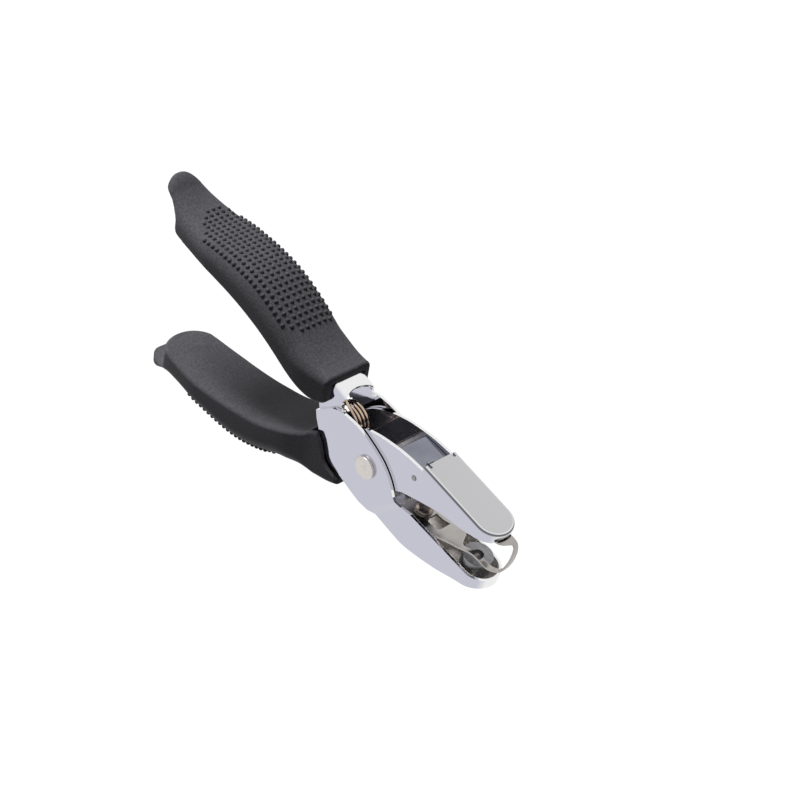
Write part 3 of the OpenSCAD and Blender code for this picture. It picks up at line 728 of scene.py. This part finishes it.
def dress_node(name, finish, edge_width):
    """Gives a solid its finish and breaks its edges."""
    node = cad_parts[name]
    for slot in node.material_slots:
        slot.material = finish
    weld = node.modifiers.new("weld", "WELD")
    weld.merge_threshold = WELD_REACH
    flat = node.modifiers.new("flat", "DECIMATE")
    flat.decimate_type = "DISSOLVE"
    flat.angle_limit = math.radians(FLAT_DEG)
    edge = node.modifiers.new("edge", "BEVEL")
    edge.width = edge_width * MM
    edge.segments = EDGE_SEGMENTS
    edge.limit_method = "ANGLE"
    edge.angle_limit = math.radians(EDGE_DEG)
    even = node.modifiers.new("even", "WEIGHTED_NORMAL")
    even.keep_sharp = True


for node_name, dress in DRESSED.items():
    dress_node(node_name, *dress)

# Own pieces: finish, body that each rides on, solid that it stands for, slot
PIECES = [
    (upper_grip, rubber, "frame", "upper_grip", "grip_soft"),
    (upper_bumps, rubber, "frame", None, "grip_soft"),
    (lower_grip, rubber, "lever", "lower_grip", "grip_soft"),
    (lower_bumps, rubber, "lever", None, "grip_soft"),
    (spring, spring_steel, None, "return_spring", "spring_wire"),
    (strip, strip_steel, None, "stripper_strip", "strip_steel")]
for piece, finish, body, stands_for, slot_name in PIECES:
    piece.data.materials.clear()
    piece.data.materials.append(finish)
    if stands_for:
        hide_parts(stands_for)
    if body:
        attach(piece, body)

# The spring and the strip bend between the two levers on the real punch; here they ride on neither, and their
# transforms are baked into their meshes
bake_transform(spring)
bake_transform(strip)

# Stage: floor and world look white, and give little light
FLOOR_HALF = 3.0
FLOOR_COLOUR = (0.4, 0.4, 0.4)
FLOOR_ROUGH = 0.9
FLOOR_GLOW = 1.2
FLOOR_GLOW_PART = 0.85
AMBIENT = 0.16


def seen_white(tree):
    """One where the camera, a mirror or glass looks, nought for other light."""
    path = tree.nodes.new("ShaderNodeLightPath").outputs
    both = calc(tree, "Math", "MAXIMUM", path["Is Camera Ray"], path["Is Glossy Ray"])
    return calc(tree, "Math", "MAXIMUM", both, path["Is Transmission Ray"])


def white_floor():
    """Dull floor that glows for whoever looks at it."""
    material, tree, shader = new_material("floor_white")
    feed(tree, shader.inputs["Base Color"], FLOOR_COLOUR)
    feed(tree, shader.inputs["Roughness"], FLOOR_ROUGH)
    feed(tree, shader.inputs["Specular IOR Level"], 0.0)
    glow = tree.nodes.new("ShaderNodeEmission")
    feed(tree, glow.inputs["Strength"], FLOOR_GLOW)
    mix = tree.nodes.new("ShaderNodeMixShader")
    feed(tree, mix.inputs["Fac"], calc(tree, "Math", "MULTIPLY", seen_white(tree), FLOOR_GLOW_PART))
    feed(tree, mix.inputs[1], shader.outputs["BSDF"])
    feed(tree, mix.inputs[2], glow.outputs["Emission"])
    feed(tree, tree.nodes["Material Output"].inputs["Surface"], mix.outputs["Shader"])
    return material


floor = new_piece("floor", [(-FLOOR_HALF, -FLOOR_HALF, 0), (FLOOR_HALF, -FLOOR_HALF, 0),
                            (FLOOR_HALF, FLOOR_HALF, 0), (-FLOOR_HALF, FLOOR_HALF, 0)], [[0, 1, 2, 3]])
floor.data.materials.append(white_floor())

world = bpy.data.worlds.new("studio")
bpy.context.scene.world = world
world.use_nodes = True
sky = world.node_tree
backdrop = sky.nodes["Background"]
feed(sky, backdrop.inputs["Color"], (1, 1, 1))
feed(sky, backdrop.inputs["Strength"], ramp_between(sky, seen_white(sky), 0.0, 1.0, AMBIENT, 1.0))

# Lamps: the low ones light the shapes and aren't mirrored, the glint is only mirrored
LAMP_AIM = Vector((0.036, -0.030, 0.012))


def softbox(name, place, width, height, watts):
    """A rectangular lamp that faces the object's middle."""
    lamp = bpy.data.lights.new(name, "AREA")
    lamp.shape = "RECTANGLE"
    lamp.size = width
    lamp.size_y = height
    lamp.energy = watts
    obj = bpy.data.objects.new(name, lamp)
    bpy.context.scene.collection.objects.link(obj)
    obj.location = place
    obj.rotation_euler = (Vector(place) - LAMP_AIM).to_track_quat("Z", "Y").to_euler()
    return obj


key_lamp = softbox("key_softbox", (-0.52, 0.74, 0.085), width=0.5, height=0.16, watts=14.0)
fill_lamp = softbox("fill_softbox", (-0.80, 0.30, 0.085), width=0.4, height=0.16, watts=4.0)
back_lamp = softbox("back_softbox", (0.10, -0.90, 0.10), width=0.5, height=0.16, watts=5.0)
glint_lamp = softbox("glint_softbox", (-0.50, 0.72, 0.14), width=0.5, height=0.5, watts=2.0)
for low_lamp in (key_lamp, fill_lamp, back_lamp):
    low_lamp.visible_glossy = False
glint_lamp.visible_diffuse = False

# Camera at the photograph's viewing angle; it looks at the pivot from this far
CAMERA_AWAY = 0.600
RIGHT = Vector((0.64435, 0.20570, -0.73655))
UP = Vector((-0.63725, 0.67686, -0.36845))
TOWARD = Vector((0.42275, 0.70678, 0.56722))
camera_data = bpy.data.cameras.new("photo_camera")
camera_data.lens = 86.88
camera_data.sensor_width = 36
camera_data.shift_x = 0.0187
camera_data.shift_y = 0.0717
camera = bpy.data.objects.new("photo_camera", camera_data)
bpy.context.scene.collection.objects.link(camera)
camera_axes = Matrix((RIGHT, UP, TOWARD)).transposed().to_4x4()
camera.matrix_world = Matrix.Translation(Vector(PIVOT * MM) + TOWARD * CAMERA_AWAY) @ camera_axes
bpy.context.scene.camera = camera
bpy.context.scene.view_settings.view_transform = "Standard"
